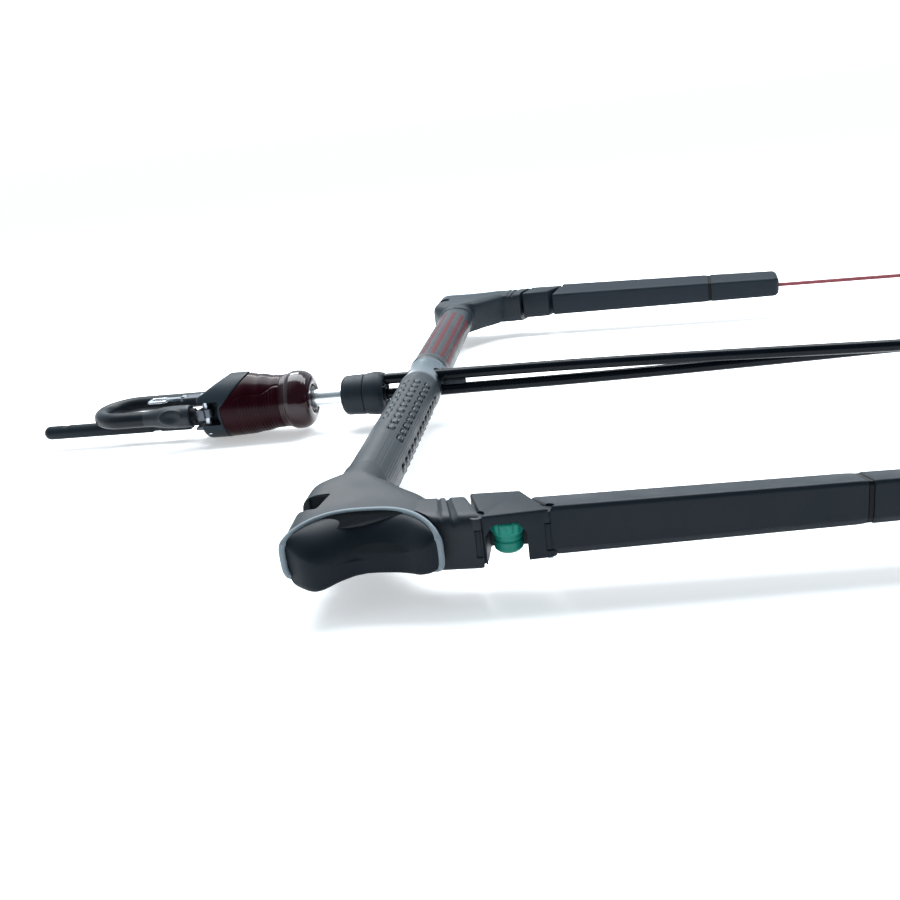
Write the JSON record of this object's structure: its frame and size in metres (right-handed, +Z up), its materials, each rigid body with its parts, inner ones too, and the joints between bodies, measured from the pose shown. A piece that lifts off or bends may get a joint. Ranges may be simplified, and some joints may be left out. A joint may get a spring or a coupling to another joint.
{
  "type": "kitesurf control bar",
  "caption": "Kitesurf control bar with a harness loop and push release, swivel, twin centre lines, padded grips, lobed winders and folding floats with leader lines.",
  "frame": {"origin": "bottom centre of the object without its lines, on the surface that it rests on", "axes": "+X towards the kite along the centre lines, +Y to the rider's left, +Z up"},
  "size_m": [0.68, 0.5354, 0.045],
  "materials": {
    "bead_grey": "smooth",
    "bearing_bronze": "plain",
    "bracket_steel": "satin",
    "bush_dark": "moulded",
    "clip_steel": "polished",
    "core_aluminium": "anodised",
    "end_plastic": "sandblasted",
    "flange_gloss": "glossy",
    "float_eva": "closed-cell foam",
    "grip_maroon": "glossy ribbed",
    "head_plastic": "fine moulded",
    "housing_plastic": "fine moulded",
    "insert_polished": "polished",
    "knuckle_plastic": "moulded",
    "left_grip_eva": "sanded foam with red inlays",
    "left_knob": "satin red",
    "left_leader": "braided red",
    "line_pu": "smooth PU jacket",
    "loop_rubber": "satin",
    "neck_plastic": "sandblasted",
    "pad_rubber": "soft matte",
    "pin_steel": "satin",
    "post_steel": "satin turned",
    "rib_black": "ribbed",
    "right_grip_eva": "sanded foam with raised pips",
    "right_knob": "satin green",
    "right_leader": "braided green",
    "ring_black": "smooth",
    "sleeve_rubber": "satin",
    "spacer_grey": "moulded",
    "spring_steel": "plain",
    "stick_rubber": "satin",
    "stopper_rubber": "matte",
    "tail_eva": "closed-cell foam",
    "tube_carbon": "woven fibre"
  },
  "bodies": {
    "front_lines": {"swivel_head_rear": "head_plastic", "swivel_head_front": "head_plastic", "swivel_bearing": "bearing_bronze", "head_screw": "pin_steel", "upper_centre_line": "line_pu", "lower_centre_line": "line_pu", "line_spacer": "spacer_grey", "line_stopper": "stopper_rubber", "line_eye": "pin_steel"},
    "release_unit": {"swivel_post": "post_steel", "release_core": "core_aluminium", "release_spring": "spring_steel", "front_housing": "housing_plastic", "front_bracket": "bracket_steel", "unit_pins": "pin_steel"},
    "latch": {"latch_lever": "pin_steel"},
    "grip_sleeve": {"release_grip": "grip_maroon", "grip_flange": "flange_gloss", "flange_bush": "bush_dark"},
    "loop": {"harness_loop": "loop_rubber", "loop_sleeve": "sleeve_rubber", "loop_ribs": "rib_black", "loop_lug": "bracket_steel", "loop_tongue": "bracket_steel"},
    "keeper": {"keeper_clip": "clip_steel", "keeper_bail": "clip_steel"},
    "knuckle": {"stick_knuckle": "knuckle_plastic", "knuckle_pin": "pin_steel"},
    "stick": {"locking_stick": "stick_rubber"},
    "bushing": {"line_bushing": "bush_dark"},
    "bar": {"centre_insert": "insert_polished", "left_core_tube": "tube_carbon", "left_grip": "left_grip_eva", "left_bar_end": "end_plastic", "left_end_pad": "pad_rubber", "left_piping": "bead_grey", "left_arm_pin": "pin_steel", "right_core_tube": "tube_carbon", "right_grip": "right_grip_eva", "right_bar_end": "end_plastic", "right_end_pad": "pad_rubber", "right_piping": "bead_grey", "right_arm_pin": "pin_steel"},
    "left_link": {"left_neck_link": "neck_plastic", "left_link_pins": "pin_steel"},
    "left_knob": {"left_leader_knob": "left_knob"},
    "left_float": {"left_float_shell": "float_eva", "left_float_ring": "ring_black", "left_float_tail": "tail_eva", "left_leader_line": "left_leader", "left_leader_knot": "left_leader"},
    "right_link": {"right_neck_link": "neck_plastic", "right_link_pins": "pin_steel"},
    "right_knob": {"right_leader_knob": "right_knob"},
    "right_float": {"right_float_shell": "float_eva", "right_float_ring": "ring_black", "right_float_tail": "tail_eva", "right_leader_line": "right_leader", "right_leader_knot": "right_leader"}
  },
  "joints": [
    {"name": "swivel_spin", "type": "hinge", "parent": "front_lines", "child": "release_unit", "pos_m": [-0.04616, 0, 0.0225], "axis": [1, 0, 0], "continuous": true},
    {"name": "grip_push", "type": "slide", "parent": "release_unit", "child": "grip_sleeve", "axis": [1, 0, 0], "range_m": [0, 0.014], "stiffness_N_per_m": 900, "springref_m": -0.004, "deforming": ["release_spring"]},
    {"name": "latch_turn", "type": "hinge", "parent": "release_unit", "child": "latch", "pos_m": [-0.14866, 0, 0.0341], "axis": [0, -1, 0], "range_deg": [0, 15]},
    {"name": "loop_open", "type": "hinge", "parent": "release_unit", "child": "loop", "pos_m": [-0.14816, -0.015, 0.0225], "axis": [0, 0, 1], "range_deg": [0, 85]},
    {"name": "keeper_lift", "type": "hinge", "parent": "release_unit", "child": "keeper", "pos_m": [-0.16715, -0.0055, 0.031], "axis": [0, 1, 0], "range_deg": [0, 60]},
    {"name": "stick_swing", "type": "hinge", "parent": "release_unit", "child": "knuckle", "pos_m": [-0.15915, 0, 0.0114], "axis": [0, 0, 1], "range_deg": [-20, 20]},
    {"name": "stick_tilt", "type": "hinge", "parent": "knuckle", "child": "stick", "pos_m": [-0.17216, 0, 0.0114], "axis": [0, 1, 0], "range_deg": [-25, 0]},
    {"name": "sheeting", "type": "slide", "parent": "front_lines", "child": "bushing", "axis": [1, 0, 0], "range_m": [-0.008, 0.29]},
    {"name": "steering", "type": "hinge", "parent": "bushing", "child": "bar", "pos_m": [0.00384, 0, 0.0268], "axis": [0, 0, 1], "range_deg": [-12, 12]},
    {"name": "left_arm_fold", "type": "hinge", "parent": "bar", "child": "left_link", "pos_m": [0.06585, 0.2539, 0.0268], "axis": [0, 0, -1], "range_deg": [0, 8], "stiffness_Nm_per_rad": 0.6, "springref_deg": -2.86},
    {"name": "left_float_fold", "type": "hinge", "parent": "left_link", "child": "left_float", "pos_m": [0.09484, 0.2502, 0.0268], "axis": [0, 0, -1], "range_deg": [0, 8]},
    {"name": "left_knob_turn", "type": "hinge", "parent": "left_link", "child": "left_knob", "pos_m": [0.07765, 0.2473, 0.0268], "axis": [0, 0, 1], "continuous": true},
    {"name": "right_arm_fold", "type": "hinge", "parent": "bar", "child": "right_link", "pos_m": [0.06585, -0.2539, 0.0268], "axis": [0, 0, 1], "range_deg": [0, 8], "stiffness_Nm_per_rad": 0.6, "springref_deg": -2.86},
    {"name": "right_float_fold", "type": "hinge", "parent": "right_link", "child": "right_float", "pos_m": [0.09484, -0.2502, 0.0268], "axis": [0, 0, 1], "range_deg": [0, 8]},
    {"name": "right_knob_turn", "type": "hinge", "parent": "right_link", "child": "right_knob", "pos_m": [0.07765, -0.2473, 0.0268], "axis": [0, 0, 1], "continuous": true}
  ],
  "couplings": [
    {"joint": "latch_turn", "follows": "grip_push", "rad_per_m": 18.7},
    {"joint": "left_float_fold", "follows": "left_arm_fold", "ratio": 1},
    {"joint": "right_float_fold", "follows": "right_arm_fold", "ratio": 1}
  ]
}
